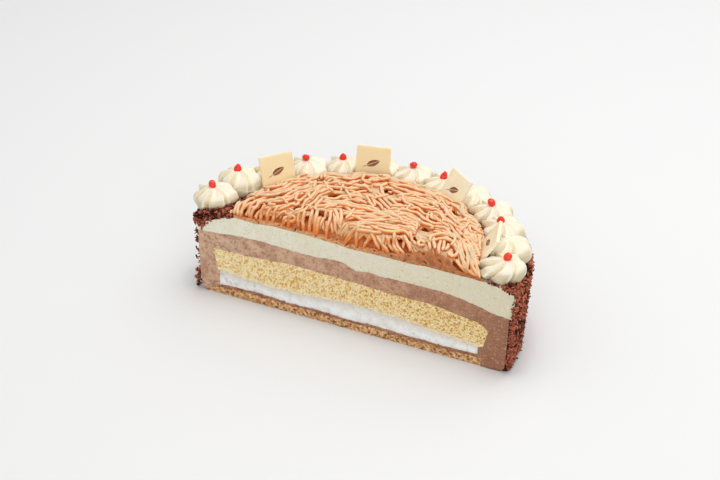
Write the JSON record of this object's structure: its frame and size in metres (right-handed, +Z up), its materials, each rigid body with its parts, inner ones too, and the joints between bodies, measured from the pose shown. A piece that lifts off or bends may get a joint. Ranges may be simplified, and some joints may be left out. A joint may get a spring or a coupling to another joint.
{
  "type": "half chestnut torte",
  "caption": "Half of a round layered torte cut through the middle, topped with chestnut paste strands, piped cream rosettes, small plain plaques and jelly drops; food to serve or display.",
  "frame": {"origin": "middle of the footprint's bounding box, on the surface the torte stands on", "axes": "+X along the straight cut, to the right when looking at the cut face; +Y from the cut towards the round back; +Z up"},
  "size_m": [0.2134, 0.1012, 0.0761],
  "materials": {
    "biscuit": "crumbly golden-brown biscuit, dry and matte",
    "film": "thin reddish-brown spread, slightly moist",
    "white_cream": "soft white cream, matte",
    "sponge": "open yellow sponge, matte",
    "mousse": "mauve-brown chestnut mousse, soft sheen",
    "ivory_cream": "pale ivory cream with small bubbles, soft sheen",
    "strands": "pressed chestnut paste, slightly moist",
    "chocolate_flakes": "small dry chocolate flakes",
    "whipped_cream": "piped ivory cream, soft sheen",
    "white_chocolate": "smooth pale yellow white chocolate, satin",
    "jelly": "glossy translucent red jelly"
  },
  "bodies": {
    "root": {"biscuit_base": "biscuit", "brown_film": "film", "white_layer": "white_cream", "sponge_layer": "sponge", "chestnut_mousse": "mousse", "cream_layer": "ivory_cream", "chestnut_strands": "strands", "flake_coat": "chocolate_flakes", "rosette_01": "whipped_cream", "rosette_02": "whipped_cream", "rosette_03": "whipped_cream", "rosette_04": "whipped_cream", "rosette_05": "whipped_cream", "rosette_06": "whipped_cream", "rosette_07": "whipped_cream", "rosette_08": "whipped_cream", "rosette_09": "whipped_cream", "rosette_10": "whipped_cream", "rosette_11": "whipped_cream", "rosette_12": "whipped_cream", "rosette_13": "whipped_cream", "plaque_1": "white_chocolate", "plaque_2": "white_chocolate", "plaque_3": "white_chocolate", "plaque_4": "white_chocolate", "jelly_drop_1": "jelly", "jelly_drop_2": "jelly", "jelly_drop_3": "jelly", "jelly_drop_4": "jelly", "jelly_drop_5": "jelly", "jelly_drop_6": "jelly", "jelly_drop_7": "jelly", "jelly_drop_8": "jelly", "jelly_drop_9": "jelly"}
  },
  "joints": []
}
